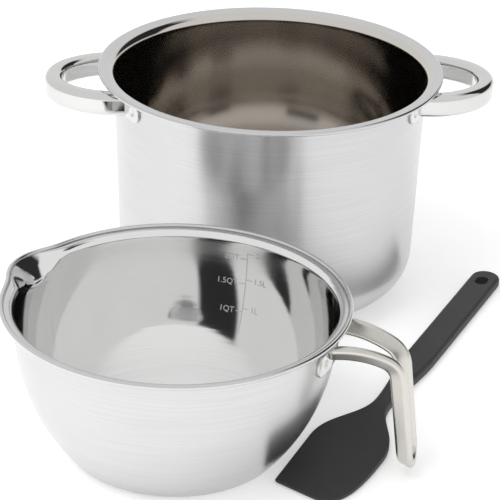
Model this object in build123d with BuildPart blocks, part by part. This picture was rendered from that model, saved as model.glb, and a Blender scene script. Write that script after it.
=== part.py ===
from build123d import *
from math import asin, atan2, cos, degrees, radians, sin, sqrt, tan
import os

# Double boiler: a stockpot, the spouted bowl that hangs in its mouth, and the silicone spatula of the set.
# Millimetres. The origin is the middle of the pot's underside, +Z is up and +X runs through the right handle.
# The bowl stands in front of the pot, and the spatula lies beside it.

# Stock and working allowances
pot_steel = 0.8
bowl_steel = 0.8
strap_steel = 1.5
overrun = 5.0

# Pot body
pot_height = 159.0
pot_lip_radius = 116.0
pot_wall_top_radius = 105.2
pot_wall_foot_radius = 100.4
pot_corner_radius = 27.0
pot_lip_bend_radius = 5.0
pot_lip_slope = 80.0
pot_edge_roll_radius = 0.6
pot_edge_roll_turn = 150.0

# Encapsulated base
base_core_radius = 70.0
base_core_thickness = 3.0
base_cap_steel = 0.6
base_cap_edge_radius = 1.4

# Pot handles
loop_reach = 151.5
loop_half_width = 41.7
loop_tube_height = 15.3
loop_tube_width = 11.6
loop_tube_wall = 1.2
loop_tube_edge_radius = 4.2
loop_drop = 5.3
loop_side_radius = 47.0
loop_side_turn = 42.0
pot_strap_half_angle = 33.0
pot_strap_height = 13.6
strap_corner_share = 0.46
dimple_sphere_radius = 5.5
dimple_depth = 0.9
pot_dimple_angle = 28.8

# Bowl body
bowl_x = -66.5
bowl_y = -224.9
bowl_height = 99.5
bowl_rim_radius = 104.8
bowl_lip_reach = 8.2
bowl_lip_depth = 12.0
bowl_base_radius = 57.0
bowl_corner_radius = 12.0
bowl_lip_bend_radius = 4.0
bowl_lip_slope = 75.0
bowl_bead_radius = 1.5

# Pouring spout
spout_azimuth = 151.2
spout_reach = 6.2
spout_half_width = 21.0
spout_depth = 14.0
spout_foot_inset = 3.0

# Bowl handle: one flat oval strip bent to a hairpin
handle_azimuth = -14.3
strip_height = 10.4
strip_width = 5.2
strip_lean = 28.0
arm_spread = 17.6
arm_above_strap = 4.0
arm_toe_in = 12.0
arm_rise = 4.0
arm_fall = 25.0
arm_bow_radius = 62.0
elbow_radius = 13.5
grip_lean = 7.0
grip_clearance = 4.6
bowl_strap_half_angle = 20.0
bowl_strap_height = 14.6
bowl_strap_drop = 6.0
bowl_dimple_angle = 14.6

# Spatula
spatula_x = 150.7
spatula_y = -20.0
spatula_heading = 242.5
spatula_thickness = 7.6
spatula_edge_radius = 2.4
spatula_half_width = 10.0
spatula_end_overhang = 17.6
spatula_hole_width = 8.6
spatula_hole_length = 12.0
spatula_neck_start = 118.0
spatula_neck_end = 184.0
spatula_neck_half_width = 5.4
blade_left = 25.2
blade_left_shoulder = 242.0
blade_tip = 296.0
blade_tip_left = 24.6
blade_right = 24.6
blade_right_shoulder = 246.0
blade_toe = 303.0
blade_toe_right = 3.0
blade_thin_start = 194.0
blade_edge_thickness = 2.6
core_width = 6.0
core_thickness = 3.0
core_start = 14.0
core_end = 214.0

os.makedirs("parts", exist_ok=True)


def finish(piece, name):
    """Labels a finished piece and writes it under its name."""
    piece.part.label = name
    export_step(piece.part, f"parts/{name}.step")


def upright(x, y, azimuth):
    """Vertical plane through a point of the floor: its x axis is level along the azimuth, its y axis is up."""
    turn = radians(azimuth)
    return Plane(origin=(x, y, 0), x_dir=(cos(turn), sin(turn), 0), z_dir=(sin(turn), -cos(turn), 0))


# Pot body: one drawn sheet, from the flat floor up the tapered wall to the flared lip and its rolled edge.
# The outer face is drawn and the sheet is laid inside it. The capsule under the floor lifts it off the table.
pot_floor = base_core_thickness + base_cap_steel
pot_slope = radians(pot_lip_slope)
roll_x = pot_lip_radius - pot_steel - pot_edge_roll_radius * (1 + cos(pot_slope))
roll_z = pot_height - pot_steel - pot_edge_roll_radius * (1 - sin(pot_slope))
pot_wall_top = roll_z - (roll_x - pot_wall_top_radius) / tan(pot_slope)


def pot_wall_radius(z):
    """Outer radius of the tapered wall at a height."""
    share = (z - pot_floor) / (pot_wall_top - pot_floor)
    return pot_wall_foot_radius + share * (pot_wall_top_radius - pot_wall_foot_radius)


with BuildPart() as pot_shell:
    with BuildSketch(Plane.XZ):
        with BuildLine():
            body = FilletPolyline(
                (0, pot_floor),
                (pot_wall_foot_radius, pot_floor),
                (pot_wall_top_radius, pot_wall_top),
                (roll_x, roll_z),
                radius=(pot_corner_radius, pot_lip_bend_radius),
            )
            JernArc(body @ 1, body % 1, pot_edge_roll_radius, -pot_edge_roll_turn)
            offset(amount=pot_steel, side=Side.LEFT)
        make_face()
    revolve(axis=Axis.Z)
finish(pot_shell, "pot_shell")

# Capsule base: an aluminium disc that spreads the heat, closed in by a thin steel dish pressed over it.
with BuildPart() as pot_base_core:
    with BuildSketch(Plane.XY.offset(base_cap_steel)):
        Circle(base_core_radius)
    extrude(amount=base_core_thickness)
finish(pot_base_core, "pot_base_core")

with BuildPart() as pot_base_cap:
    with BuildSketch():
        Circle(base_core_radius + base_cap_steel)
    extrude(amount=pot_floor)
    fillet(pot_base_cap.faces().sort_by(Axis.Z)[0].edges(), base_cap_edge_radius)
    with BuildSketch(Plane.XY.offset(base_cap_steel)):
        Circle(base_core_radius)
    extrude(amount=base_core_thickness, mode=Mode.SUBTRACT)
finish(pot_base_cap, "pot_base_cap")

# Pot handles, one each side. A curved strap with round ends is spot welded to the wall under the lip, and
# a flat oval tube bent to a D butts on it. Two pressed dimples mark the welds beyond the tube's ends.
loop_middle = pot_height - loop_drop - loop_tube_height / 2
strap_low = loop_middle - pot_strap_height / 2
strap_high = loop_middle + pot_strap_height / 2
loop_mid_half_width = loop_half_width - loop_tube_width / 2
side_turn = radians(loop_side_turn)
loop_nose_radius = (loop_mid_half_width - loop_side_radius * (1 - cos(side_turn))) / cos(side_turn)
loop_curve_depth = loop_side_radius * sin(side_turn) + loop_nose_radius * (1 - sin(side_turn))
loop_straight_end = loop_reach - loop_tube_width / 2 - loop_curve_depth
loop_start = sqrt(pot_wall_foot_radius**2 - loop_half_width**2) - overrun
dimple_radius_at = pot_wall_radius(loop_middle) + strap_steel + dimple_sphere_radius - dimple_depth

for side, azimuth in (("right", 0), ("left", 180)):
    with BuildPart() as strap:
        with BuildSketch(upright(0, 0, azimuth - pot_strap_half_angle)):
            Polygon(
                (pot_wall_radius(strap_low), strap_low),
                (pot_wall_radius(strap_low) + strap_steel, strap_low),
                (pot_wall_radius(strap_high) + strap_steel, strap_high),
                (pot_wall_radius(strap_high), strap_high),
                align=None,
            )
        revolve(axis=Axis.Z, revolution_arc=2 * pot_strap_half_angle)
        corners = strap.edges().sort_by(SortBy.LENGTH)[:4]
        fillet(corners, radius=pot_strap_height * strap_corner_share)
        with Locations(Plane.XY.offset(loop_middle)):
            with PolarLocations(dimple_radius_at, 2, azimuth - pot_dimple_angle, 4 * pot_dimple_angle):
                Sphere(dimple_sphere_radius, mode=Mode.SUBTRACT)
    finish(strap, f"pot_strap_{side}")

    loop_plane = Plane.XY.offset(loop_middle).rotated((0, 0, azimuth))
    with BuildPart() as loop:
        with BuildLine(loop_plane) as loop_path:
            near = Line((loop_start, -loop_mid_half_width), (loop_straight_end, -loop_mid_half_width))
            near_bend = JernArc(near @ 1, near % 1, loop_side_radius, loop_side_turn)
            nose = JernArc(near_bend @ 1, near_bend % 1, loop_nose_radius, 180 - 2 * loop_side_turn)
            far_bend = JernArc(nose @ 1, nose % 1, loop_side_radius, loop_side_turn)
            Line(far_bend @ 1, far_bend @ 1 + (far_bend % 1) * (near.length))
        with BuildSketch(Plane(origin=loop_path.line @ 0, x_dir=(0, 0, 1), z_dir=loop_path.line % 0)):
            RectangleRounded(loop_tube_height, loop_tube_width, loop_tube_edge_radius)
            RectangleRounded(
                loop_tube_height - 2 * loop_tube_wall,
                loop_tube_width - 2 * loop_tube_wall,
                loop_tube_edge_radius - loop_tube_wall,
                mode=Mode.SUBTRACT,
            )
        sweep(path=loop_path.line)
        with BuildSketch(Plane.XZ):
            Polygon(
                (0, strap_low - overrun),
                (pot_wall_radius(strap_low - overrun) + strap_steel, strap_low - overrun),
                (pot_wall_radius(strap_high + overrun) + strap_steel, strap_high + overrun),
                (0, strap_high + overrun),
                align=None,
            )
        revolve(axis=Axis.Z, mode=Mode.SUBTRACT)
    finish(loop, f"pot_handle_{side}")

# Bowl body: flat base, a tight corner, one long arc up the side, then a plumb band under the flared lip,
# whose edge is rolled to a bead. The side arc is tangent to the corner and plumb at its top.
bowl_axis = Axis((bowl_x, bowl_y, 0), (0, 0, 1))
bowl_wall_radius = bowl_rim_radius - bowl_lip_reach
bowl_side_height = bowl_height - bowl_lip_depth
side_run = bowl_wall_radius - bowl_base_radius
side_climb = bowl_side_height - bowl_corner_radius
side_radius = (side_run**2 + side_climb**2 - bowl_corner_radius**2) / (2 * (side_run - bowl_corner_radius))
side_centre = bowl_wall_radius - side_radius
side_turn_angle = degrees(atan2(side_climb, bowl_base_radius - side_centre))
side_handle_share = 4 / 3 * tan(radians(side_turn_angle / 4))
bead_x = bowl_rim_radius - bowl_bead_radius
bead_z = bowl_height - bowl_bead_radius
lip_foot = bead_z - (bead_x - bowl_wall_radius) / tan(radians(bowl_lip_slope))


def bowl_profile(inset):
    """Draws the bowl's face from the middle of its base to the rim bead, inside the outer face by the inset."""
    slope = radians(bowl_lip_slope)
    base = Line((0, inset), (bowl_base_radius, inset))
    corner = JernArc(base @ 1, base % 1, bowl_corner_radius - inset, 90 - side_turn_angle)
    top = Vector(bowl_wall_radius - inset, bowl_side_height)
    reach = side_handle_share * (side_radius - inset)
    flank = Bezier(corner @ 1, corner @ 1 + (corner % 1) * reach, top - Vector(0, reach), top)
    FilletPolyline(
        flank @ 1,
        (bowl_wall_radius - inset, lip_foot + inset * tan(slope / 2)),
        (bead_x - inset * cos(slope), bead_z + inset * sin(slope)),
        radius=bowl_lip_bend_radius + inset,
    )


# Spout: a half funnel pressed out of the lip. Its mouth is an arc through the tip and the two ends of its
# width on the rim, and its foot dies into the wall one spout depth down.
spout_tip = bowl_rim_radius + spout_reach
spout_sagitta = spout_tip - sqrt(bowl_rim_radius**2 - spout_half_width**2)
spout_mouth_radius = (spout_half_width**2 + spout_sagitta**2) / (2 * spout_sagitta)
spout_centre = spout_tip - spout_mouth_radius
spout_bead_x = spout_mouth_radius - bowl_bead_radius
spout_foot = bowl_height - spout_depth
spout_foot_radius = bowl_wall_radius - spout_centre - spout_foot_inset
spout_x = bowl_x + spout_centre * cos(radians(spout_azimuth))
spout_y = bowl_y + spout_centre * sin(radians(spout_azimuth))
spout_axis = Axis((spout_x, spout_y, 0), (0, 0, 1))

with BuildPart() as bowl_envelope:
    with BuildSketch(upright(bowl_x, bowl_y, 0)):
        with BuildLine():
            bowl_profile(0)
            Polyline((bead_x, bead_z), (bead_x, bead_z + overrun), (0, bead_z + overrun), (0, 0))
        make_face()
    revolve(axis=bowl_axis)

with BuildPart() as spout_opening:
    with BuildSketch(upright(spout_x, spout_y, 0)):
        Polygon(
            (0, spout_foot),
            (spout_foot_radius - bowl_steel, spout_foot),
            (spout_bead_x - bowl_steel, bead_z),
            (spout_bead_x - bowl_steel, bead_z + overrun),
            (0, bead_z + overrun),
            align=None,
        )
    revolve(axis=spout_axis)

with BuildPart() as rim_bead:
    with BuildSketch(upright(bowl_x, bowl_y, 0)):
        with Locations((bead_x, bead_z)):
            Circle(bowl_bead_radius)
    revolve(axis=bowl_axis)
    add(spout_opening.part, mode=Mode.SUBTRACT)

with BuildPart() as spout_bead:
    with BuildSketch(upright(spout_x, spout_y, 0)):
        with Locations((spout_bead_x, bead_z)):
            Circle(bowl_bead_radius)
    revolve(axis=spout_axis)
    add(bowl_envelope.part, mode=Mode.SUBTRACT)

with BuildPart() as bowl_shell:
    with BuildSketch(upright(bowl_x, bowl_y, 0)):
        with BuildLine():
            bowl_profile(0)
            Polyline((bead_x, bead_z), (0, bead_z), (0, 0))
        make_face()
    revolve(axis=bowl_axis)
    with BuildSketch(upright(spout_x, spout_y, 0)):
        Polygon((0, spout_foot), (spout_foot_radius, spout_foot), (spout_bead_x, bead_z), (0, bead_z), align=None)
    revolve(axis=spout_axis)
    with BuildSketch(upright(bowl_x, bowl_y, 0)):
        with BuildLine() as inside:
            bowl_profile(bowl_steel)
            edge = inside.line @ 1
            top = bead_z + overrun
            Polyline(edge, (edge.X, top), (0, top), (0, bowl_steel))
        make_face()
    revolve(axis=bowl_axis, mode=Mode.SUBTRACT)
    add(spout_opening.part, mode=Mode.SUBTRACT)
    add(rim_bead.part)
    add(spout_bead.part)
finish(bowl_shell, "bowl_shell")

# Bowl strap: a plate pressed to the curve of the side, spot welded at the dimple beyond each arm.
bowl_strap_middle = bowl_side_height - bowl_strap_drop
strap_low_angle = degrees(asin((bowl_strap_middle - bowl_strap_height / 2 - bowl_side_height) / side_radius))
strap_high_angle = degrees(asin((bowl_strap_middle + bowl_strap_height / 2 - bowl_side_height) / side_radius))
strap_radius_out = side_radius + strap_steel
middle_angle = asin((bowl_strap_middle - bowl_side_height) / side_radius)
bowl_dimple_reach = strap_radius_out + dimple_sphere_radius - dimple_depth
bowl_dimple_radius_at = side_centre + bowl_dimple_reach * cos(middle_angle)
bowl_dimple_z = bowl_side_height + bowl_dimple_reach * sin(middle_angle)
with BuildPart() as bowl_strap:
    with BuildSketch(upright(bowl_x, bowl_y, handle_azimuth - bowl_strap_half_angle)):
        with BuildLine():
            span = strap_high_angle - strap_low_angle
            inner = CenterArc((side_centre, bowl_side_height), side_radius, strap_low_angle, span)
            outer = CenterArc((side_centre, bowl_side_height), strap_radius_out, strap_low_angle, span)
            Line(inner @ 0, outer @ 0)
            Line(inner @ 1, outer @ 1)
        make_face()
    revolve(axis=bowl_axis, revolution_arc=2 * bowl_strap_half_angle)
    corners = bowl_strap.edges().sort_by(SortBy.LENGTH)[:4]
    fillet(corners, radius=bowl_strap_height * strap_corner_share)
    with Locations(Plane((bowl_x, bowl_y, bowl_dimple_z))):
        first = handle_azimuth - bowl_dimple_angle
        with PolarLocations(bowl_dimple_radius_at, 3, first, 3 * bowl_dimple_angle):
            Sphere(dimple_sphere_radius, mode=Mode.SUBTRACT)
finish(bowl_strap, "bowl_strap")

# Bowl handle: a flat oval strip runs out from the strap, bows down, turns the elbow and hangs as a grip,
# where a half turn leads it back up as the second arm. The arms toe in, and the strip leans outward.
toe = radians(arm_toe_in)
lean = radians(grip_lean)
rise = radians(arm_rise)
fall = radians(arm_fall)
arm_height = bowl_strap_middle + arm_above_strap
outward = Vector(cos(radians(handle_azimuth)), sin(radians(handle_azimuth)), 0)
sideways = Vector(-outward.Y, outward.X, 0)
upward = Vector(0, 0, 1)
bowl_centre = Vector(bowl_x, bowl_y, 0)
arm_direction = outward * cos(toe) - sideways * sin(toe)
arm_normal = sideways * cos(toe) + outward * sin(toe)
arm_root = bowl_centre + outward * (bowl_wall_radius + strap_steel) + sideways * arm_spread + upward * arm_height
arm_plane = Plane(origin=arm_root, x_dir=arm_direction, z_dir=-arm_normal)
elbow_turn = 90 - grip_lean - arm_fall
elbow_run = arm_bow_radius * (sin(fall) + sin(rise)) + elbow_radius * (cos(lean) - sin(fall))
elbow_fall = arm_bow_radius * (cos(rise) - cos(fall)) + elbow_radius * (cos(fall) - sin(lean))
hairpin_low = grip_clearance + strip_height / 2 * sin(radians(strip_lean)) + strip_width / 2
grip_fall = arm_height - elbow_fall - hairpin_low
grip_spread = arm_spread - elbow_run * sin(toe)
grip_length = (grip_fall - grip_spread * cos(lean)) / (cos(lean) * (1 - sin(lean) * sin(toe)))
hairpin_radius = grip_spread - grip_length * sin(lean) * sin(toe)
grip_run = (elbow_run + grip_length * sin(lean)) * cos(toe)
hairpin_z = arm_height - elbow_fall - grip_length * cos(lean)
hairpin_centre = bowl_centre + outward * (bowl_wall_radius + strap_steel + grip_run) + upward * hairpin_z
grip_direction = outward * sin(lean) - upward * cos(lean)
grip_depth = outward * cos(lean) + upward * sin(lean)
with BuildPart() as bowl_handle:
    with BuildLine(arm_plane) as arm_path:
        stub = Line((-2 * overrun * cos(rise), -2 * overrun * sin(rise)), (0, 0))
        bow = JernArc(stub @ 1, stub % 1, arm_bow_radius, -(arm_rise + arm_fall))
        elbow = JernArc(bow @ 1, bow % 1, elbow_radius, -elbow_turn)
        Line(elbow @ 1, elbow @ 1 + (elbow % 1) * (grip_length + strip_width * sin(toe)))
    with BuildSketch(Plane(origin=arm_path.line @ 0, x_dir=arm_normal, z_dir=arm_path.line % 0)):
        SlotOverall(strip_height, strip_width, rotation=90 - strip_lean)
    sweep(path=arm_path.line)
    mirror(about=upright(bowl_x, bowl_y, handle_azimuth))
    with BuildSketch(Plane(origin=hairpin_centre, x_dir=sideways, z_dir=grip_direction)):
        with Locations((hairpin_radius, 0)):
            SlotOverall(strip_height, strip_width, rotation=90 - strip_lean)
    revolve(axis=Axis(hairpin_centre, -grip_depth), revolution_arc=180)
    with BuildSketch(upright(bowl_x, bowl_y, 0)):
        with BuildLine():
            low = strap_low_angle * 2
            face = CenterArc((side_centre, bowl_side_height), strap_radius_out, low, -low)
            top = bowl_side_height + bowl_strap_height
            Polyline(face @ 1, ((face @ 1).X, top), (0, top), (0, (face @ 0).Y), face @ 0)
        make_face()
    revolve(axis=bowl_axis, mode=Mode.SUBTRACT)
finish(bowl_handle, "bowl_handle")

# Spatula: a stiff nylon core moulded into one piece of silicone. The blade has a square left tip and a
# rounded right corner for the bowl's curve, and it thins towards its edge.
spatula_side = upright(spatula_x, spatula_y, spatula_heading)
spatula_plane = Plane(origin=spatula_side.origin, x_dir=spatula_side.x_dir, z_dir=spatula_side.y_dir)
core_low = (spatula_thickness - core_thickness) / 2
end_middle = spatula_half_width - spatula_end_overhang

with BuildPart() as spatula_core:
    with BuildSketch(spatula_plane.offset(core_low)):
        with Locations(((core_start + core_end) / 2, 0)):
            Rectangle(core_end - core_start, core_width)
    extrude(amount=core_thickness)
finish(spatula_core, "spatula_core")

with BuildPart() as spatula_silicone:
    with BuildSketch(spatula_plane):
        with BuildLine():
            end = ThreePointArc(
                (end_middle, spatula_half_width),
                (-spatula_end_overhang, 0),
                (end_middle, -spatula_half_width),
            )
            left_edge = Line(end @ 1, (spatula_neck_start, -spatula_half_width))
            right_edge = Line(end @ 0, (spatula_neck_start, spatula_half_width))
            along = ((1, 0), (1, 0))
            left_neck = Spline(left_edge @ 1, (spatula_neck_end, -spatula_neck_half_width), tangents=along)
            right_neck = Spline(right_edge @ 1, (spatula_neck_end, spatula_neck_half_width), tangents=along)
            left_shoulder = Spline(left_neck @ 1, (blade_left_shoulder, -blade_left), tangents=along)
            right_shoulder = Spline(right_neck @ 1, (blade_right_shoulder, blade_right), tangents=along)
            blade_side = Line(left_shoulder @ 1, (blade_tip, -blade_tip_left))
            tip_edge = Line(blade_side @ 1, (blade_toe, blade_toe_right))
            Spline(right_shoulder @ 1, tip_edge @ 1, tangents=((1, 0), -(tip_edge % 1)))
        make_face()
    extrude(amount=spatula_thickness)
    flats = spatula_silicone.faces().sort_by(Axis.Z)
    fillet(flats[0].edges() + flats[-1].edges(), spatula_edge_radius)
    with BuildSketch(spatula_side):
        Polygon(
            (blade_thin_start, spatula_thickness),
            (blade_toe + overrun, blade_edge_thickness),
            (blade_toe + overrun, spatula_thickness + overrun),
            (blade_thin_start, spatula_thickness + overrun),
            align=None,
        )
    extrude(amount=blade_left + blade_right, both=True, mode=Mode.SUBTRACT)
    with BuildSketch(spatula_plane):
        SlotOverall(spatula_hole_length, spatula_hole_width)
    extrude(amount=spatula_thickness, mode=Mode.SUBTRACT)
    add(spatula_core.part, mode=Mode.SUBTRACT)
finish(spatula_silicone, "spatula_silicone")
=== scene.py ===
import bmesh
import bpy
import numpy as np
from math import acos, asin, atan2, cos, pi, radians, sin, sqrt, tan
from mathutils import Matrix, Vector


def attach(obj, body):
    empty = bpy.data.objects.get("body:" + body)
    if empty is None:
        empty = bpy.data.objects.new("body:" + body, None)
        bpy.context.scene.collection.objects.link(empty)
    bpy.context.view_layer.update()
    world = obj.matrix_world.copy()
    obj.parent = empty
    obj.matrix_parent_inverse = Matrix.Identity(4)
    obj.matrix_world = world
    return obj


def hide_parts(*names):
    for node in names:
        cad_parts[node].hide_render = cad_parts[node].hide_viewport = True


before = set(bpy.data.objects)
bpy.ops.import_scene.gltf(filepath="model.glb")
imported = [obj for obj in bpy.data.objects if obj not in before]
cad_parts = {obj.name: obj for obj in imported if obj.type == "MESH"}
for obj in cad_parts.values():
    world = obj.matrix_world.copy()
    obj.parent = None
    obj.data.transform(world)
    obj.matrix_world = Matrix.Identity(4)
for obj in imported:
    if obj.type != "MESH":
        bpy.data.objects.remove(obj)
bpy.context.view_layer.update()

# View of the set
# The camera stands where the photograph was taken from: about 1.6 m away, looking 26 degrees down, with a
# slight roll that lowers the pot's right end.
focal_pixels = 2210.41
image_pixels = 500
sensor_width = 36
camera_place = Vector((-0.0928, -1.3848, 0.7018))
camera_pitch = radians(26.135)
camera_yaw = radians(3.4035)
camera_roll = radians(-1.605)

ahead = Vector((
    sin(camera_yaw) * cos(camera_pitch),
    cos(camera_yaw) * cos(camera_pitch),
    -sin(camera_pitch),
))
level_right = Vector((cos(camera_yaw), -sin(camera_yaw), 0))
level_up = level_right.cross(ahead)
image_right = level_right * cos(camera_roll) - level_up * sin(camera_roll)
image_up = level_up * cos(camera_roll) + level_right * sin(camera_roll)
camera_data = bpy.data.cameras.new("camera")
camera_data.sensor_width = sensor_width
camera_data.lens = focal_pixels / image_pixels * sensor_width
camera_data.clip_start = 0.05
camera_data.clip_end = 50
camera = bpy.data.objects.new("camera", camera_data)
turned_axes = Matrix((image_right, image_up, -ahead)).transposed().to_4x4()
camera.matrix_world = Matrix.Translation(camera_place) @ turned_axes
bpy.context.scene.collection.objects.link(camera)
bpy.context.scene.camera = camera
bpy.context.scene.view_settings.view_transform = "Standard"


# Table and studio
# A white table top under an even light tent, with one black card from the right to the back right that
# gives the polished steel its dark band. Steel mirrors the table as the camera sees it.
def add_node(tree, kind, inputs=None, **settings):
    """Adds a node, sets its properties, sets the inputs given as values and links those given as sockets."""
    node = tree.nodes.new(kind)
    for key, value in settings.items():
        setattr(node, key, value)
    for key, value in (inputs or {}).items():
        if isinstance(value, bpy.types.NodeSocket):
            tree.links.new(value, node.inputs[key])
        else:
            node.inputs[key].default_value = value
    return node


def worked_out(tree, operation, *values):
    """The output of a Math node whose inputs are the given numbers or sockets, in order."""
    return add_node(tree, "ShaderNodeMath", dict(enumerate(values)), operation=operation).outputs[0]


def ramp(tree, value, stops):
    """The output of a Color Ramp whose stops are (place, grey or colour)."""
    node = add_node(tree, "ShaderNodeValToRGB", {0: value})
    band = node.color_ramp
    while len(band.elements) < len(stops):
        band.elements.new(0.5)
    for element, (place, tone) in zip(band.elements, stops):
        element.position = place
        element.color = (*tone, 1) if isinstance(tone, tuple) else (tone, tone, tone, 1)
    return node.outputs[0]


def bearing(tree, vector):
    """Share of a full turn about the upright axis at which a vector points: 0.5 is to the front, more is to
    the right, and 0 and 1 are both to the back."""
    parts = add_node(tree, "ShaderNodeSeparateXYZ", {0: vector}).outputs
    turn = worked_out(tree, "ARCTAN2", parts["X"], worked_out(tree, "MULTIPLY", parts["Y"], -1))
    return worked_out(tree, "MULTIPLY_ADD", turn, 1 / (2 * pi), 0.5)


table_reach = 6.0
table_white = 0.86
table_glow = 0.37

table_mesh = bpy.data.meshes.new("table_top")
table_corners = [(x * table_reach, y * table_reach, 0) for x, y in ((-1, -1), (1, -1), (1, 1), (-1, 1))]
table_mesh.from_pydata(table_corners, [], [(0, 1, 2, 3)])
table_top = bpy.data.objects.new("table_top", table_mesh)
bpy.context.scene.collection.objects.link(table_top)

table_paint = bpy.data.materials.new("white table top")
table_paint.use_nodes = True
tree = table_paint.node_tree
tree.nodes.clear()
rays = add_node(tree, "ShaderNodeLightPath").outputs
seen = worked_out(tree, "MAXIMUM", rays["Is Camera Ray"], rays["Is Glossy Ray"])
glow = worked_out(tree, "MULTIPLY", seen, table_glow)
matt = add_node(tree, "ShaderNodeBsdfDiffuse", {"Color": (table_white, table_white, table_white, 1)})
light = add_node(tree, "ShaderNodeEmission", {"Color": (1, 1, 1, 1), "Strength": glow})
both = add_node(tree, "ShaderNodeAddShader", {0: matt.outputs[0], 1: light.outputs[0]})
add_node(tree, "ShaderNodeOutputMaterial", {"Surface": both.outputs[0]})
table_mesh.materials.append(table_paint)

tent_tone = 0.9
card_tone = 0.03
card_sides = ((0.74, 0.0), (0.755, 1.0), (0.9, 1.0), (0.915, 0.0))
card_foot = 0.12
card_foot_end = 0.2
card_head = 0.8
card_head_end = 0.88

world = bpy.data.worlds.new("light tent")
bpy.context.scene.world = world
world.use_nodes = True
tree = world.node_tree
tree.nodes.clear()
direction = add_node(tree, "ShaderNodeTexCoord").outputs["Generated"]
climb = add_node(tree, "ShaderNodeSeparateXYZ", {0: direction}).outputs["Z"]
above = add_node(tree, "ShaderNodeMapRange", {"Value": climb, 1: card_foot, 2: card_foot_end}).outputs[0]
below = add_node(tree, "ShaderNodeMapRange", {"Value": climb, 1: card_head_end, 2: card_head}).outputs[0]
card = worked_out(tree, "MULTIPLY", ramp(tree, bearing(tree, direction), card_sides), above)
card = worked_out(tree, "MULTIPLY", card, below)
tone = worked_out(tree, "MULTIPLY_ADD", card, card_tone - tent_tone, tent_tone)
rays = add_node(tree, "ShaderNodeLightPath").outputs
tone = worked_out(tree, "MAXIMUM", tone, rays["Is Camera Ray"])
back = add_node(tree, "ShaderNodeBackground", {"Color": (1, 1, 1, 1), "Strength": tone})
add_node(tree, "ShaderNodeOutputWorld", {"Surface": back.outputs[0]})

lamp_place = Vector((-0.7, -0.5, 1.3))
lamp_aim = Vector((0, -0.2, 0.1))
lamp_data = bpy.data.lights.new("key lamp", "AREA")
lamp_data.shape = "DISK"
lamp_data.size = 1.0
lamp_data.energy = 9
lamp = bpy.data.objects.new("key lamp", lamp_data)
facing = (lamp_aim - lamp_place).to_track_quat("-Z", "Y")
lamp.matrix_world = Matrix.LocRotScale(lamp_place, facing, None)
lamp.visible_glossy = False
bpy.context.scene.collection.objects.link(lamp)


# Pot body
# One drawn stainless sheet: a flat floor, a tapered wall and a flared lip whose edge is rolled under. It is
# brushed round outside, polished inside and in between on the lip.
def rounded_run(corners, radii, steps=20):
    """A run of straight lines with its inner corners rounded. Each arc is tangent to both of its lines: its
    middle lies on their bisector, radius / sin(half the angle between them) from the corner."""
    corners = [np.array(c, float) for c in corners]
    pieces = [corners[0][None]]
    for before, corner, after, radius in zip(corners, corners[1:], corners[2:], radii):
        back = (before - corner) / np.linalg.norm(before - corner)
        on = (after - corner) / np.linalg.norm(after - corner)
        half = acos(float(back @ on)) / 2
        middle = corner + (back + on) / np.linalg.norm(back + on) * radius / sin(half)
        spokes = [corner + way * radius / tan(half) - middle for way in (back, on)]
        first, last = (atan2(spoke[1], spoke[0]) for spoke in spokes)
        sweep = (last - first + pi) % (2 * pi) - pi
        turn = first + sweep * np.linspace(0, 1, steps)
        pieces.append(middle + radius * np.stack((np.cos(turn), np.sin(turn)), 1))
    pieces.append(corners[-1][None])
    return np.concatenate(pieces)


def bent_on(run, radius, turn, steps=20):
    """The run carried on by a tangent arc. Its middle is one radius to the left of the last heading for a
    positive turn, and to the right for a negative one. Where the run ends in equal steps of an arc, the
    heading is the last step's, turned on by half of the turn between the last two."""
    ways = np.diff(run[-3:], axis=0)
    angles = np.arctan2(ways[:, 1], ways[:, 0])
    sizes = np.linalg.norm(ways, axis=1)
    on_arc = len(ways) == 2 and np.isclose(sizes[0], sizes[1])
    ahead = angles[-1] + (angles[-1] - angles[0]) / 2 * on_arc
    heading = np.array((np.cos(ahead), np.sin(ahead)))
    side = np.array((-heading[1], heading[0])) * np.sign(turn)
    swing = abs(turn) * np.linspace(0, 1, steps)[1:, None]
    arc = run[-1] + radius * (side * (1 - np.cos(swing)) + heading * np.sin(swing))
    return np.concatenate((run, arc))


def lengths(run):
    """Distance along a run at each of its points."""
    return np.concatenate(((0,), np.cumsum(np.linalg.norm(np.diff(run, axis=0), axis=1))))


def refined(run, longest):
    """The run with more points, so that no two are further apart than the longest step."""
    along = lengths(run)
    regular = np.linspace(0, along[-1], int(along[-1] / longest) + 2)
    marks = np.unique(np.round(np.concatenate((along, regular)), 7))
    return np.stack([np.interp(marks, along, run[:, axis]) for axis in range(run.shape[1])], 1)


def beside(run, distance):
    """The run moved to its left by a distance, square to its own heading at each point."""
    heading = np.gradient(run, axis=0)
    heading = heading / np.linalg.norm(heading, axis=1)[:, None]
    return run + distance * np.stack((-heading[:, 1], heading[:, 0]), 1)


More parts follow.
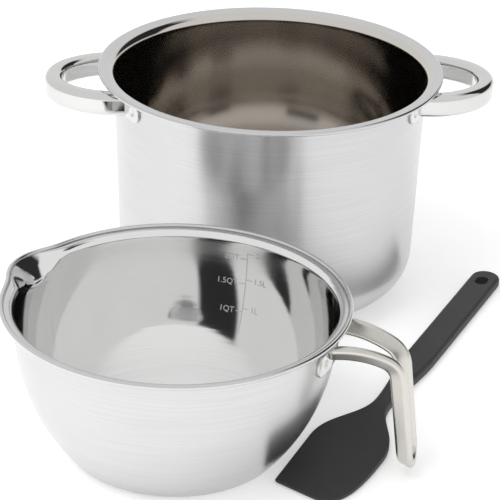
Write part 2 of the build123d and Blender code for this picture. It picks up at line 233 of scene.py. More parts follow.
def put_surface(name, points, material, lining=None, lining_row=0, **marks):
    """A mesh from a grid of points[along, across]. Neighbours in the grid share faces, the last column joins
    the first, and points that coincide at a pole or a seam are merged. Faces from the lining's row on take
    the lining. Each of the marks is an array on the same grid and becomes an attribute. The map 'grain'
    has its first coordinate along and its second across."""
    rows, columns = points.shape[:2]
    i, j = np.meshgrid(np.arange(rows - 1), np.arange(columns), indexing="ij")
    j2 = (j + 1) % columns
    faces = np.stack((i * columns + j, i * columns + j2, (i + 1) * columns + j2, (i + 1) * columns + j), -1)
    faces = faces.reshape(-1, 4)
    mesh = bpy.data.meshes.new(name)
    mesh.vertices.add(rows * columns)
    mesh.vertices.foreach_set("co", points.astype(np.float32).ravel())
    mesh.loops.add(faces.size)
    mesh.loops.foreach_set("vertex_index", faces.ravel().astype(np.int32))
    mesh.polygons.add(len(faces))
    mesh.polygons.foreach_set("loop_start", np.arange(0, faces.size, 4, dtype=np.int32))
    mesh.polygons.foreach_set("use_smooth", np.ones(len(faces), bool))
    mesh.materials.append(material)
    if lining:
        mesh.materials.append(lining)
        mesh.polygons.foreach_set("material_index", (i >= lining_row).ravel().astype(np.int32))
    down = np.stack((i, i, i + 1, i + 1), -1).reshape(-1) / max(rows - 1, 1)
    round_ = np.stack((j, j + 1, j + 1, j), -1).reshape(-1) / columns
    chart = mesh.uv_layers.new(name="grain")
    chart.uv.foreach_set("vector", np.stack((down, round_), 1).astype(np.float32).ravel())
    for mark, values in marks.items():
        layer = mesh.attributes.new(mark, "FLOAT", "POINT")
        layer.data.foreach_set("value", np.broadcast_to(values, (rows, columns)).astype(np.float32).ravel())
    mesh.update(calc_edges=True)
    mesh.validate()
    merge = bmesh.new()
    merge.from_mesh(mesh)
    bmesh.ops.remove_doubles(merge, verts=merge.verts, dist=1e-7)
    bmesh.ops.recalc_face_normals(merge, faces=merge.faces)
    merge.to_mesh(mesh)
    merge.free()
    piece = bpy.data.objects.new(name, mesh)
    bpy.context.scene.collection.objects.link(piece)
    return piece


def lathed(run, around, middle=(0, 0)):
    """A profile of (radius, height) turned about an upright axis: grid[profile, turn]."""
    turn = np.linspace(0, 2 * pi, around, endpoint=False)
    radius, height = run[:, :1], run[:, 1:]
    return np.stack((
        middle[0] + radius * np.cos(turn),
        middle[1] + radius * np.sin(turn),
        height + 0 * turn,
    ), -1)


def new_group(name, inputs, outputs):
    """A shader node group with the named number or vector inputs and outputs, as (group, input, output)."""
    group = bpy.data.node_groups.new(name, "ShaderNodeTree")
    for word, kind, value in inputs:
        socket = group.interface.new_socket(word, in_out="INPUT", socket_type=kind)
        if value is not None:
            socket.default_value = value
    for word, kind in outputs:
        group.interface.new_socket(word, in_out="OUTPUT", socket_type=kind)
    return group, group.nodes.new("NodeGroupInput").outputs, group.nodes.new("NodeGroupOutput").inputs


# Brushing round an axis: noise that is stretched along the turn and fine across it, on walls and floors
# alike, because it reads height plus radius. Lines are the scratches and patches are slow changes of tone.
brushing, given, wanted = new_group(
    "round brushing",
    (
        ("Place", "NodeSocketVector", None),
        ("Across", "NodeSocketFloat", 2600),
        ("Along", "NodeSocketFloat", 14),
    ),
    (("Lines", "NodeSocketFloat"), ("Patches", "NodeSocketFloat")),
)
axes = add_node(brushing, "ShaderNodeSeparateXYZ", {0: given["Place"]}).outputs
flat = add_node(brushing, "ShaderNodeCombineXYZ", {"X": axes["X"], "Y": axes["Y"]}).outputs[0]
radius = add_node(brushing, "ShaderNodeVectorMath", {0: flat}, operation="LENGTH").outputs["Value"]
climb = worked_out(brushing, "ADD", axes["Z"], radius)
stretched = add_node(
    brushing,
    "ShaderNodeCombineXYZ",
    {
        "X": worked_out(brushing, "MULTIPLY", axes["X"], given["Along"]),
        "Y": worked_out(brushing, "MULTIPLY", axes["Y"], given["Along"]),
        "Z": worked_out(brushing, "MULTIPLY", climb, given["Across"]),
    },
).outputs[0]
scratches = add_node(brushing, "ShaderNodeTexNoise", {"Vector": stretched, "Scale": 1, "Detail": 3})
clouds = add_node(brushing, "ShaderNodeTexNoise", {"Vector": given["Place"], "Scale": 22, "Detail": 2})
brushing.links.new(scratches.outputs[0], wanted["Lines"])
brushing.links.new(clouds.outputs[0], wanted["Patches"])


def steel(name, brushed_tone, polished_tone, brushed_rough, polished_rough, stretch, middle=(0, 0, 0)):
    """Stainless steel turned about an upright axis through the middle. The attribute 'polish' blends from
    brushed, 0, to polished, 1. The stretch draws highlights out square to the brushing."""
    material = bpy.data.materials.new(name)
    material.use_nodes = True
    tree = material.node_tree
    shader = tree.nodes["Principled BSDF"]
    place = add_node(tree, "ShaderNodeTexCoord").outputs["Object"]
    centred = add_node(tree, "ShaderNodeMapping", {"Vector": place, "Location": [-m for m in middle]})
    grain = add_node(tree, "ShaderNodeGroup", node_tree=brushing)
    tree.links.new(centred.outputs[0], grain.inputs["Place"])
    polish = add_node(tree, "ShaderNodeAttribute", attribute_name="polish").outputs["Fac"]
    tone = add_node(
        tree,
        "ShaderNodeMix",
        {0: polish, 6: (*brushed_tone, 1), 7: (*polished_tone, 1)},
        data_type="RGBA",
    ).outputs[2]
    matt = worked_out(tree, "SUBTRACT", 1, polish)
    scratch = worked_out(tree, "SUBTRACT", grain.outputs["Lines"], 0.5)
    cloud = worked_out(tree, "SUBTRACT", grain.outputs["Patches"], 0.5)
    depth = worked_out(tree, "MULTIPLY_ADD", matt, 0.3, 0.06)
    light = worked_out(tree, "MULTIPLY", scratch, depth)
    light = worked_out(tree, "MULTIPLY_ADD", cloud, 0.06, light)
    light = worked_out(tree, "ADD", light, 1)
    colour = add_node(tree, "ShaderNodeVectorMath", {0: tone, "Scale": light}, operation="SCALE").outputs[0]
    tree.links.new(colour, shader.inputs["Base Color"])
    rough = add_node(
        tree,
        "ShaderNodeMapRange",
        {"Value": polish, 3: brushed_rough, 4: polished_rough},
    ).outputs[0]
    rough = worked_out(tree, "MULTIPLY_ADD", light, 0.1, worked_out(tree, "SUBTRACT", rough, 0.1))
    tree.links.new(rough, shader.inputs["Roughness"])
    scratched = worked_out(tree, "MULTIPLY", grain.outputs["Lines"], matt)
    bump = add_node(tree, "ShaderNodeBump", {"Height": scratched, "Strength": 0.12, "Distance": 0.0001})
    tree.links.new(bump.outputs[0], shader.inputs["Normal"])
    shader.inputs["Metallic"].default_value = 1
    shader.inputs["Anisotropic"].default_value = stretch
    tangent = add_node(tree, "ShaderNodeTangent", direction_type="UV_MAP", uv_map="grain")
    tree.links.new(tangent.outputs[0], shader.inputs["Tangent"])
    return material


pot_height = 0.159
pot_lip_radius = 0.116
pot_floor = 0.0036
pot_steel_thickness = 0.0008
wall_foot_radius = 0.1004
wall_top_radius = 0.1052
corner_radius = 0.027
lip_bend = 0.005
lip_slope = radians(80)
edge_roll = 0.0006
edge_roll_turn = radians(150)
pot_around = 320
lining_radius = 0.1085
lip_polish = 0.4
pot_step = 0.004

roll_x = pot_lip_radius - pot_steel_thickness - edge_roll * (1 + cos(lip_slope))
roll_z = pot_height - pot_steel_thickness - edge_roll * (1 - sin(lip_slope))
wall_top = roll_z - (roll_x - wall_top_radius) / tan(lip_slope)
outer = rounded_run(
    ((0, pot_floor), (wall_foot_radius, pot_floor), (wall_top_radius, wall_top), (roll_x, roll_z)),
    (corner_radius, lip_bend),
)
outer = refined(bent_on(outer, edge_roll, -edge_roll_turn), pot_step)
inner = beside(outer, pot_steel_thickness)
inner[0] = (0, pot_floor + pot_steel_thickness)
section = np.concatenate((outer, inner[::-1]))
past_lip = (outer[:, 1] > wall_top - lip_bend / 3) & (outer[:, 0] > wall_top_radius)
outside_polish = np.where(past_lip, lip_polish, 0)
inside_polish = np.where(inner[::-1, 0] < lining_radius, 1, lip_polish)
polish = np.concatenate((outside_polish, inside_polish))[:, None]

pot_steel = steel("brushed pot steel", (0.595, 0.595, 0.6), (0.62, 0.62, 0.62), 0.3, 0.1, 0.6)
# The inside colour carries a warm tint that is painted reflection. The steel's own grey is that of the
# outside.
pot_lining = steel("polished pot inside with painted warm reflection", (0.62, 0.59, 0.555), (0.62, 0.59, 0.555), 0.2, 0.095, 0)
pot_points = lathed(section, pot_around)
lining_row = len(outer) + int(np.argmax(inner[::-1, 0] < lining_radius))
pot_body = put_surface("pot_body", pot_points, pot_steel, pot_lining, lining_row, polish=polish)
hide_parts("pot_shell")
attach(pot_body, "pot")

# Pot base
# A thin steel dish pressed over an aluminium disc under the pot's floor. The dish is brushed and has a small
# round edge.
cap_radius = 0.0706
cap_edge = 0.0014
cap_step = 0.003
cap_around = 160

cap_section = refined(rounded_run(
    ((0, 0), (cap_radius, 0), (cap_radius, pot_floor)),
    (cap_edge,),
), cap_step)
cap_section = np.concatenate((cap_section, ((0, pot_floor),)))
base_dish = put_surface("base_dish", lathed(cap_section, cap_around), pot_steel, polish=0)
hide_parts("pot_base_cap")
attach(base_dish, "pot")

disc_paint = bpy.data.materials.new("rolled aluminium")
disc_paint.use_nodes = True
tree = disc_paint.node_tree
shader = tree.nodes["Principled BSDF"]
place = add_node(tree, "ShaderNodeTexCoord").outputs["Object"]
rolled = add_node(tree, "ShaderNodeTexNoise", {"Vector": place, "Scale": 900, "Detail": 2}).outputs[0]
tree.links.new(ramp(tree, rolled, ((0.3, 0.74), (0.7, 0.82))), shader.inputs["Base Color"])
shader.inputs["Metallic"].default_value = 1
shader.inputs["Roughness"].default_value = 0.4
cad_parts["pot_base_core"].data.materials.clear()
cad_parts["pot_base_core"].data.materials.append(disc_paint)


# Pot handle straps
# A stainless plate with rounded ends, curved to the wall and spot welded to it. Each weld shows as a pressed
# dimple beyond the end of the tube.
strap_thickness = 0.0015
strap_edge = 0.0005
strap_corner_share = 0.46
strap_step = 0.0005
strap_polish = 0.7
dimple_ball = 0.0055
dimple_depth = 0.0009
pot_strap_height = 0.0136
pot_strap_half = radians(33)
pot_dimple = radians(28.8)
loop_drop = 0.0053
loop_tube_height = 0.0153
loop_middle = pot_height - loop_drop - loop_tube_height / 2


def wall_radius(height):
    """Outer radius of the tapered pot wall at a height."""
    share = (height - pot_floor) / (wall_top - pot_floor)
    return wall_foot_radius + share * (wall_top_radius - wall_foot_radius)


def welded_plate(half_length, half_height, dimples):
    """Grid[station, loop] of (along, up, out) over a plate with rounded corners and edges. A station's loop
    runs over its outer face and back along the wall, and the loops shrink to a point at both ends. Around a
    weld the face sinks by the dimple's depth less distance squared over twice the ball's radius."""
    corner = 2 * half_height * strap_corner_share
    clear = half_length - corner
    steps = corner * (1 - np.cos(np.linspace(0, pi / 2, 14)))
    middle = np.linspace(-clear, clear, int(2 * clear / strap_step))[1:-1]
    along = np.concatenate((steps - half_length, middle, half_length - steps[::-1]))
    inset = np.maximum(np.abs(along) - clear, 0)
    tall = half_height - corner + np.sqrt(np.maximum(corner**2 - inset**2, 0))
    share = np.concatenate((np.linspace(-1, 1, 41), (1, 1, 0, -1, -1)))
    out = np.concatenate((np.ones(41), (0.5, 0, 0, 0, 0.5)))
    up = tall[:, None] * share
    to_edge = np.minimum(tall[:, None] * (1 - np.abs(share)), (half_length - np.abs(along))[:, None])
    rounding = np.clip(1 - to_edge / strap_edge, 0, 1) ** 2 * strap_edge
    for weld in dimples:
        away = (along[:, None] - weld) ** 2 + up**2
        rounding = rounding + np.maximum(dimple_depth - away / (2 * dimple_ball), 0)
    out = out * strap_thickness - rounding * (out == 1)
    grid = np.stack((np.broadcast_to(along[:, None], up.shape), up, out), -1)
    ends = [grid[i].mean(0) * np.ones_like(grid[i]) for i in (0, -1)]
    return np.concatenate((ends[:1], grid, ends[1:]))


handle_steel = steel("polished handle steel", (0.62, 0.62, 0.61), (0.66, 0.66, 0.65), 0.2, 0.06, 0)
for side, azimuth in (("right", 0), ("left", pi)):
    reach = wall_radius(loop_middle) + strap_thickness
    welds = (-pot_dimple * reach, pot_dimple * reach)
    plate = welded_plate(pot_strap_half * reach, pot_strap_height / 2, welds)
    turn = azimuth + plate[..., 0] / reach
    height = loop_middle + plate[..., 1]
    radius = wall_radius(height) + plate[..., 2]
    points = np.stack((radius * np.cos(turn), radius * np.sin(turn), height), -1)
    strap = put_surface(f"handle_strap_{side}", points, handle_steel, polish=strap_polish)
    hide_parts(f"pot_strap_{side}")
    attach(strap, "pot")

# Pot handles
# A flat oval stainless tube bent to a D. Its ends are cut to the strap's curve and welded to it, and it is
# polished all over.
loop_reach = 0.1515
loop_half_width = 0.0417
loop_tube_width = 0.0116
loop_tube_edge = 0.0042
loop_stub = 0.0025
loop_side_radius = 0.047
loop_side_turn = radians(42)


def rounded_box(half_width, half_height, edge, steps=10):
    """Closed outline of a rounded rectangle, from the middle of its lower side, anticlockwise."""
    corners = (
        (0, -half_height),
        (half_width, -half_height),
        (half_width, half_height),
        (-half_width, half_height),
        (-half_width, -half_height),
        (0, -half_height),
    )
    return refined(rounded_run(corners, (edge,) * 4, steps), half_height / 4)[:-1]


middle_width = loop_half_width - loop_tube_width / 2
nose_radius = (middle_width - loop_side_radius * (1 - cos(loop_side_turn))) / cos(loop_side_turn)
curve_depth = loop_side_radius * sin(loop_side_turn) + nose_radius * (1 - sin(loop_side_turn))
straight_end = loop_reach - loop_tube_width / 2 - curve_depth
straight_start = straight_end - loop_stub
bend = np.array(((straight_start, -middle_width), (straight_end, -middle_width)))
bend = bent_on(bend, loop_side_radius, loop_side_turn)
bend = bent_on(bend, nose_radius, pi - 2 * loop_side_turn, 44)
bend = bent_on(bend, loop_side_radius, loop_side_turn)
bend = np.concatenate((bend, ((straight_start, middle_width),)))
heading = np.gradient(bend, axis=0)
heading = heading / np.linalg.norm(heading, axis=1)[:, None]
outward = np.stack((heading[:, 1], -heading[:, 0]), 1)
tube = rounded_box(loop_tube_width / 2, loop_tube_height / 2, loop_tube_edge)
ring = bend[:, None] + outward[:, None] * tube[None, :, :1]
level = np.broadcast_to(loop_middle + tube[None, :, 1:], (len(bend), len(tube), 1))
loop_points = np.concatenate((ring, level), -1)
weld_radius = wall_radius(loop_points[:1, :, 2]) + strap_thickness / 2
first, last = loop_points[:1].copy(), loop_points[-1:].copy()
for end in (first, last):
    end[..., 0] = np.sqrt(weld_radius**2 - end[..., 1] ** 2)
loop_points = np.concatenate((first, loop_points, last))
for side, way in (("right", 1), ("left", -1)):
    handle = put_surface(f"side_handle_{side}", loop_points * (way, way, 1), handle_steel, polish=1)
    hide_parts(f"pot_handle_{side}")
    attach(handle, "pot")

# Bowl
# Drawn stainless with a small flat base and a full round side. The lip flares to a rolled bead, and a spout
# is pressed out of it. Brushed outside, and inside a satin floor and a mirror polished wall.
bowl_middle = np.array((-0.0665, -0.2249))
bowl_height = 0.0995
bowl_rim_radius = 0.1048
bowl_wall_radius = 0.0966
bowl_lip_depth = 0.012
bowl_base_radius = 0.057
bowl_corner_radius = 0.012
bowl_lip_bend = 0.004
bowl_lip_slope = radians(75)
bowl_bead = 0.0015
bowl_steel_thickness = 0.0008
bowl_around = 480
bowl_step = 0.0025
bowl_lining_radius = 0.0985
satin_low = 0.012
satin_high = 0.034
spout_azimuth = radians(151.2)
spout_reach = 0.0062
spout_half_width = 0.021
spout_depth = 0.014
spout_foot_inset = 0.003
spout_blend = 0.0035
least_cone = 0.001
roll_start = radians(-150)
roll_end = radians(182)

bowl_side_height = bowl_height - bowl_lip_depth
side_run = bowl_wall_radius - bowl_base_radius
side_climb = bowl_side_height - bowl_corner_radius
side_radius = (side_run**2 + side_climb**2 - bowl_corner_radius**2) / (2 * (side_run - bowl_corner_radius))
side_centre = bowl_wall_radius - side_radius
side_turn = atan2(side_climb, bowl_base_radius - side_centre)
bead_x = bowl_rim_radius - bowl_bead
bead_z = bowl_height - bowl_bead
lip_way = np.array((sin(bowl_lip_slope), cos(bowl_lip_slope)))
bead_entry = np.array((bead_x, bead_z)) - lip_way * bowl_bead

run = bent_on(np.array(((0, 0), (bowl_base_radius, 0))), bowl_corner_radius, pi / 2 - side_turn)
run = bent_on(run, side_radius, side_turn, 60)
lip_foot = bead_z - (bead_x - bowl_wall_radius) / tan(bowl_lip_slope)
lip = rounded_run((run[-1], (bowl_wall_radius, lip_foot), bead_entry), (bowl_lip_bend,))
bowl_outer = refined(np.concatenate((run, lip[1:])), bowl_step)
bowl_inner = beside(bowl_outer, bowl_steel_thickness)
bowl_inner[0] = (0, bowl_steel_thickness)

spout_tip = bowl_rim_radius + spout_reach
spout_sagitta = spout_tip - sqrt(bowl_rim_radius**2 - spout_half_width**2)
spout_mouth = (spout_half_width**2 + spout_sagitta**2) / (2 * spout_sagitta)
spout_centre = spout_tip - spout_mouth
spout_foot = bowl_height - spout_depth
spout_foot_radius = bowl_wall_radius - spout_centre - spout_foot_inset
spout_bead_x = spout_mouth - bowl_bead
off_spout = np.linspace(0, 2 * pi, bowl_around, endpoint=False)[None]


def with_spout(radius, height, inset):
    """Radius of the bowl's wall in each direction: the turned wall or the spout's cone, whichever is further
    out, blended by the blend width times ln(1 + e to the difference over that width)."""
    share = (height - spout_foot) / (bead_z - spout_foot)
    cone = spout_foot_radius + share * (spout_bead_x - spout_foot_radius)
    cone = np.maximum(cone - inset, least_cone)
    across = cone**2 - (spout_centre * np.sin(off_spout)) ** 2
    reach = spout_centre * np.cos(off_spout) + np.sign(across) * np.sqrt(np.abs(across))
    reach = np.where(height > spout_foot, reach, 0)
    gain = np.minimum((reach - radius) / spout_blend, 30)
    return radius + spout_blend * np.log1p(np.exp(gain)) * (gain > -12)


outer_reach = with_spout(bowl_outer[:, :1], bowl_outer[:, 1:], 0)
inner_reach = with_spout(bowl_inner[:, :1], bowl_inner[:, 1:], bowl_steel_thickness)
bowl_turn = spout_azimuth + off_spout
round_way = np.stack((np.cos(bowl_turn), np.sin(bowl_turn)), -1)


def on_bowl(reach, height):
    """Points at a radius in each direction round the bowl, at the heights of the rows."""
    flat = bowl_middle + reach[..., None] * round_way
    return np.concatenate((flat, np.broadcast_to(height[..., None], (*reach.shape, 1))), -1)


rim_line = with_spout(np.array([[bead_x]]), np.array([[bead_z]]), 0)[..., None] * round_way
rim_heading = np.roll(rim_line, -1, 1) - np.roll(rim_line, 1, 1)
rim_out = np.stack((rim_heading[..., 1], -rim_heading[..., 0]), -1)
rim_out = rim_out / np.linalg.norm(rim_out, axis=-1, keepdims=True)
roll = np.linspace(roll_start, roll_end, 26)[:, None]
bead_flat = bowl_middle + rim_line + bowl_bead * np.cos(roll)[..., None] * rim_out
bead_tall = np.broadcast_to((bead_z + bowl_bead * np.sin(roll))[..., None], (len(roll), bowl_around, 1))
bead_points = np.concatenate((bead_flat, bead_tall), -1)
bowl_points = np.concatenate((
    on_bowl(outer_reach, bowl_outer[:, 1:]),
    bead_points,
    on_bowl(inner_reach, bowl_inner[:, 1:])[::-1],
))
past_lip = bowl_outer[:, 1] > lip_foot
up_side = np.clip((bowl_inner[:, 1] - satin_low) / (satin_high - satin_low), 0, 1)[::-1]
up_side = np.where(bowl_inner[::-1, 0] > bowl_lining_radius, lip_polish, up_side)
outside_polish = np.where(past_lip, lip_polish, 0)
polish = np.concatenate((outside_polish, lip_polish * np.ones(len(roll)), up_side))[:, None]
bowl_axis = (*bowl_middle, 0)
bowl_steel = steel("brushed bowl steel", (0.62, 0.62, 0.622), (0.66, 0.66, 0.66), 0.3, 0.08, 0.55, bowl_axis)
# The inside colour is painted brighter than the steel's own tone, about 0.8 against 0.62 to 0.66 outside, so
# that its polished floor reads light.
bowl_lining = steel("polished bowl inside with painted brightness", (0.8, 0.8, 0.795), (0.8, 0.8, 0.795), 0.3, 0.06, 0, bowl_axis)
lining_row = len(bowl_outer) + len(roll) + int(np.argmax(bowl_inner[::-1, 0] < bowl_lining_radius))
bowl_body = put_surface("bowl_body", bowl_points, bowl_steel, bowl_lining, lining_row, polish=polish)
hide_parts("bowl_shell")
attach(bowl_body, "bowl")

# Volume marks
# A scale etched into the polished inside: litres to the right of an upright line and quarts to its left.
# Each mark stands where the bowl's own hollow holds that much.
mark_azimuth = radians(61.2)
mark_height = 0.0038
mark_stroke = 0.0004
capital_share = 0.72
tick_length = 0.0045
word_gap = 0.001
etch_lift = 0.00012
etch_step = 0.001
quart = 0.946
line_foot_volume = 0.62

ring_areas = pi * bowl_inner[:, 0] ** 2
slices = np.diff(bowl_inner[:, 1]) * (ring_areas[1:] + ring_areas[:-1]) / 2
held_litres = np.concatenate(((0,), np.cumsum(slices))) * 1000
up_wall = lengths(bowl_inner)


def up_wall_at(litres):
    """Distance up the inside profile, from the middle of the base, where the bowl holds the volume."""
    return float(np.interp(litres, held_litres, up_wall))


def onto_bowl(flat):
    """Wraps flat points of (right, up the wall) onto the inside, facing its axis. Right runs clockwise."""
    height = np.interp(flat[:, 1], up_wall, bowl_inner[:, 1])
    radius = np.interp(flat[:, 1], up_wall, bowl_inner[:, 0]) - etch_lift
    turn = mark_azimuth - flat[:, 0] / radius
    return np.stack((
        bowl_middle[0] + radius * np.cos(turn),
        bowl_middle[1] + radius * np.sin(turn),
        height + 0 * radius,
    ), 1)


def etched_bar(left, right, low, high):
    """A rectangle of the scale as points and faces, cut into short steps so that it follows the wall."""
    across = max(int((right - left) / etch_step), 1) + 1
    tall = max(int((high - low) / etch_step), 1) + 1
    x, y = np.meshgrid(np.linspace(left, right, across), np.linspace(low, high, tall))
    i, j = np.meshgrid(np.arange(tall - 1), np.arange(across - 1), indexing="ij")
    corner = (i * across + j).ravel()
    faces = np.stack((corner, corner + 1, corner + across + 1, corner + across), 1)
    return np.stack((x.ravel(), y.ravel()), 1), faces.tolist()


def etched_word(word, edge, middle, align):
    """A word of the scale as points and faces, set in capitals whose height is the mark height."""
    text = bpy.data.curves.new(word, "FONT")
    text.body = word
    text.align_x = align
    text.align_y = "CENTER"
    text.size = mark_height / capital_share
    text.resolution_u = 4
    letters = bpy.data.objects.new(word, text)
    mesh = bpy.data.meshes.new_from_object(letters)
    flat = np.empty(len(mesh.vertices) * 3, np.float32)
    mesh.vertices.foreach_get("co", flat)
    flat = flat.reshape(-1, 3)[:, :2].astype(float) + (edge, middle)
    faces = [list(face.vertices) for face in mesh.polygons]
    bpy.data.meshes.remove(mesh)
    bpy.data.objects.remove(letters)
    bpy.data.curves.remove(text)
    return flat, faces


scale_parts = [etched_bar(-mark_stroke / 2, mark_stroke / 2, up_wall_at(line_foot_volume), up_wall_at(2))]
for volume, unit, litres, way in (
    ("2", "L", 2, 1),
    ("1.5", "L", 1.5, 1),
    ("1", "L", 1, 1),
    ("2", "QT", 2 * quart, -1),
    ("1.5", "QT", 1.5 * quart, -1),
    ("1", "QT", quart, -1),
):
    level = up_wall_at(litres)
    ends = sorted((0, way * tick_length))
    scale_parts.append(etched_bar(*ends, level - mark_stroke / 2, level + mark_stroke / 2))
    edge = way * (tick_length + word_gap)
    scale_parts.append(etched_word(volume + unit, edge, level, "LEFT" if way > 0 else "RIGHT"))
points, faces = [], []
for flat, part_faces in scale_parts:
    start = sum(len(p) for p in points)
    points.append(onto_bowl(flat))
    faces += [[start + corner for corner in face] for face in part_faces]
scale_mesh = bpy.data.meshes.new("volume_marks")
scale_mesh.from_pydata(np.concatenate(points).tolist(), [], faces)
volume_marks = bpy.data.objects.new("volume_marks", scale_mesh)
bpy.context.scene.collection.objects.link(volume_marks)

etching = bpy.data.materials.new("etched scale")
etching.use_nodes = True
tree = etching.node_tree
shader = tree.nodes["Principled BSDF"]
place = add_node(tree, "ShaderNodeTexCoord").outputs["Object"]
frost = add_node(tree, "ShaderNodeTexNoise", {"Vector": place, "Scale": 5000, "Detail": 2}).outputs[0]
tree.links.new(ramp(tree, frost, ((0.3, 0.42), (0.7, 0.5))), shader.inputs["Base Color"])
shader.inputs["Roughness"].default_value = 0.8
scale_mesh.materials.append(etching)
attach(volume_marks, "bowl")

# Bowl handle strap
# A stainless plate pressed to the curve of the bowl's side, spot welded at three dimples.
bowl_strap_half = radians(20)
bowl_strap_height = 0.0146
bowl_strap_drop = 0.006
bowl_dimple = radians(14.6)
bowl_strap_polish = 0.6
handle_azimuth = radians(-14.3)

bowl_strap_middle = bowl_side_height - bowl_strap_drop
strap_angle = asin((bowl_strap_middle - bowl_side_height) / side_radius)
strap_reach = side_centre + side_radius * cos(strap_angle)
plate = welded_plate(
    bowl_strap_half * strap_reach,
    bowl_strap_height / 2,
    (-bowl_dimple * strap_reach, 0, bowl_dimple * strap_reach),
)
turn = handle_azimuth + plate[..., 0] / strap_reach
tilt = strap_angle + plate[..., 1] / side_radius
radius = side_centre + (side_radius + plate[..., 2]) * np.cos(tilt)
points = np.stack((
    bowl_middle[0] + radius * np.cos(turn),
    bowl_middle[1] + radius * np.sin(turn),
    bowl_side_height + (side_radius + plate[..., 2]) * np.sin(tilt),
), -1)
bowl_plate = put_surface("bowl_handle_strap", points, handle_steel, polish=bowl_strap_polish)
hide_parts("bowl_strap")
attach(bowl_plate, "bowl")

# Bowl handle
# One flat oval stainless strip bent to a hairpin: two arms bow out and down from the strap, turn an elbow
# and hang as a grip that closes in a half turn. It has a warm satin finish.
strip_height = 0.0104
strip_width = 0.0052
strip_lean = radians(28)
arm_spread = 0.0176
arm_above_strap = 0.004
arm_toe_in = radians(12)
arm_rise = radians(4)
arm_fall = radians(25)
arm_bow = 0.062
arm_lead = 0.001
arm_elbow = 0.0135
grip_lean = radians(7)
grip_clearance = 0.0046
arm_step = 0.001
ring_step = 0.0008
strip_edge_share = 0.98
strip_polish = 0.6
arm_height = bowl_strap_middle + arm_above_strap
arm_root_reach = bowl_wall_radius + strap_thickness

way_out = np.array((cos(handle_azimuth), sin(handle_azimuth), 0))
way_side = np.array((-sin(handle_azimuth), cos(handle_azimuth), 0))
way_up = np.array((0, 0, 1))
arm_way = way_out * cos(arm_toe_in) - way_side * sin(arm_toe_in)
arm_square = way_side * cos(arm_toe_in) + way_out * sin(arm_toe_in)
centre = np.array((*bowl_middle, 0))
root = centre + way_out * arm_root_reach + way_side * arm_spread + way_up * arm_height
elbow_run = arm_bow * (sin(arm_fall) + sin(arm_rise)) + arm_elbow * (cos(grip_lean) - sin(arm_fall))
elbow_fall = arm_bow * (cos(arm_rise) - cos(arm_fall)) + arm_elbow * (cos(arm_fall) - sin(grip_lean))
lowest = grip_clearance + strip_height / 2 * sin(strip_lean) + strip_width / 2
grip_fall = arm_height - elbow_fall - lowest
grip_spread = arm_spread - elbow_run * sin(arm_toe_in)
grip_length = (grip_fall - grip_spread * cos(grip_lean)) / (
    cos(grip_lean) * (1 - sin(grip_lean) * sin(arm_toe_in))
)
half_turn = grip_spread - grip_length * sin(grip_lean) * sin(arm_toe_in)
grip_run = (elbow_run + grip_length * sin(grip_lean)) * cos(arm_toe_in)
turn_height = arm_height - elbow_fall - grip_length * cos(grip_lean)
turn_centre = centre + way_out * (arm_root_reach + grip_run) + way_up * turn_height
grip_way = way_out * sin(grip_lean) - way_up * cos(grip_lean)

arm = np.array(((-arm_lead * cos(arm_rise), -arm_lead * sin(arm_rise)), (0, 0)))
arm = bent_on(arm, arm_bow, -arm_rise - arm_fall)
arm = bent_on(arm, arm_elbow, -(pi / 2 - grip_lean - arm_fall))
grip_end = arm[-1] + grip_length * np.array((sin(grip_lean), -cos(grip_lean)))
arm = refined(np.concatenate((arm[1:], grip_end[None])), arm_step)
limb = root + arm[:, :1] * arm_way + arm[:, 1:] * way_up
swing = np.linspace(0, pi, 24)[1:-1, None]
turn_square = np.cos(swing) * way_side + np.sin(swing) * grip_way
hairpin = turn_centre + half_turn * turn_square


def mirrored(vectors, about):
    """The vectors or points mirrored in the upright plane of the bowl's axis and the handle's middle."""
    off = (vectors - about) @ way_side
    return vectors - 2 * off[:, None] * way_side


squares = np.broadcast_to(arm_square, limb.shape)
path = np.concatenate((limb, hairpin, mirrored(limb, centre)[::-1]))
square = np.concatenate((squares, turn_square, mirrored(squares, 0 * centre)[::-1]))
along = lengths(path)
steps = np.linspace(0, along[-1], int(along[-1] / ring_step))
path = np.stack([np.interp(steps, along, path[:, axis]) for axis in range(3)], 1)
square = np.stack([np.interp(steps, along, square[:, axis]) for axis in range(3)], 1)
soft = np.ones(7) / 7
for values in (path, square):
    held = np.pad(values, ((3, 3), (0, 0)), mode="edge")
    eased = np.stack([np.convolve(held[:, axis], soft, "valid") for axis in range(3)], 1)
    values[4:-4] = eased[4:-4]
heading = np.gradient(path, axis=0)
heading = heading / np.linalg.norm(heading, axis=1)[:, None]
square = square - (square * heading).sum(1)[:, None] * heading
square = square / np.linalg.norm(square, axis=1)[:, None]
over = np.cross(heading, square)
long_way = square * sin(strip_lean) + over * cos(strip_lean)
short_way = over * sin(strip_lean) - square * cos(strip_lean)
strip = rounded_box(strip_height / 2, strip_width / 2, strip_width / 2 * strip_edge_share, 14)
rings = path[:, None] + long_way[:, None] * strip[None, :, :1] + short_way[:, None] * strip[None, :, 1:]
first, last = rings[:1].copy(), rings[-1:].copy()
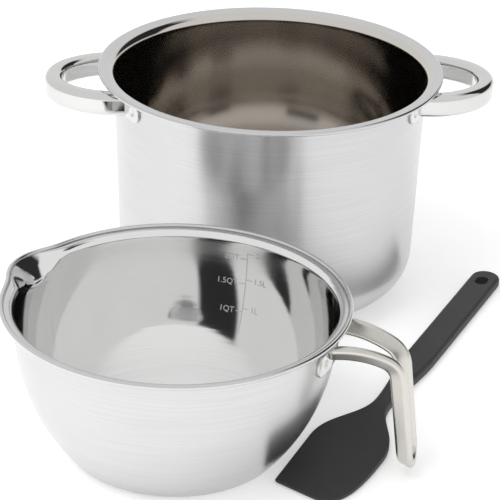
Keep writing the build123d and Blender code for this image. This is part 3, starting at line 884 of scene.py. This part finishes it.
for end in (first, last):
    beyond = end - centre
    aside = beyond @ way_side
    tilt = np.arcsin((beyond[..., 2] - bowl_side_height) / side_radius)
    weld = side_centre + (side_radius + strap_thickness / 2) * np.cos(tilt)
    end += ((np.sqrt(weld**2 - aside**2) - beyond @ way_out)[..., None]) * way_out
first_middle = first.mean(1, keepdims=True) + 0 * first
last_middle = last.mean(1, keepdims=True) + 0 * last
rings = np.concatenate((first_middle, first, rings, last, last_middle))

strip_steel = steel("satin strip steel", (0.6, 0.585, 0.54), (0.63, 0.615, 0.575), 0.32, 0.26, 0)
bowl_grip = put_surface("bowl_handle_strip", rings, strip_steel, polish=strip_polish)
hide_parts("bowl_handle")
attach(bowl_grip, "bowl")

# Spatula
# One piece of matt charcoal silicone, moulded round a stiff nylon core that doesn't show.
silicone = bpy.data.materials.new("charcoal silicone")
silicone.use_nodes = True
tree = silicone.node_tree
shader = tree.nodes["Principled BSDF"]
place = add_node(tree, "ShaderNodeTexCoord").outputs["Object"]
skin = add_node(tree, "ShaderNodeTexNoise", {"Vector": place, "Scale": 1800, "Detail": 3}).outputs[0]
dust = add_node(tree, "ShaderNodeTexNoise", {"Vector": place, "Scale": 30, "Detail": 2}).outputs[0]
tree.links.new(
    ramp(tree, dust, ((0.35, (0.034, 0.034, 0.036)), (0.65, (0.041, 0.041, 0.043)))),
    shader.inputs["Base Color"],
)
bump = add_node(tree, "ShaderNodeBump", {"Height": skin, "Strength": 0.15, "Distance": 0.0002})
tree.links.new(bump.outputs[0], shader.inputs["Normal"])
shader.inputs["Roughness"].default_value = 0.55
shader.inputs["Specular IOR Level"].default_value = 0.35
nylon = bpy.data.materials.new("nylon core")
nylon.use_nodes = True
tree = nylon.node_tree
shader = tree.nodes["Principled BSDF"]
place = add_node(tree, "ShaderNodeTexCoord").outputs["Object"]
fibre = add_node(tree, "ShaderNodeTexNoise", {"Vector": place, "Scale": 700, "Detail": 2}).outputs[0]
tree.links.new(ramp(tree, fibre, ((0.3, 0.045), (0.7, 0.06))), shader.inputs["Base Color"])
shader.inputs["Roughness"].default_value = 0.6
for node, paint in (("spatula_silicone", silicone), ("spatula_core", nylon)):
    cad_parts[node].data.materials.clear()
    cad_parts[node].data.materials.append(paint)
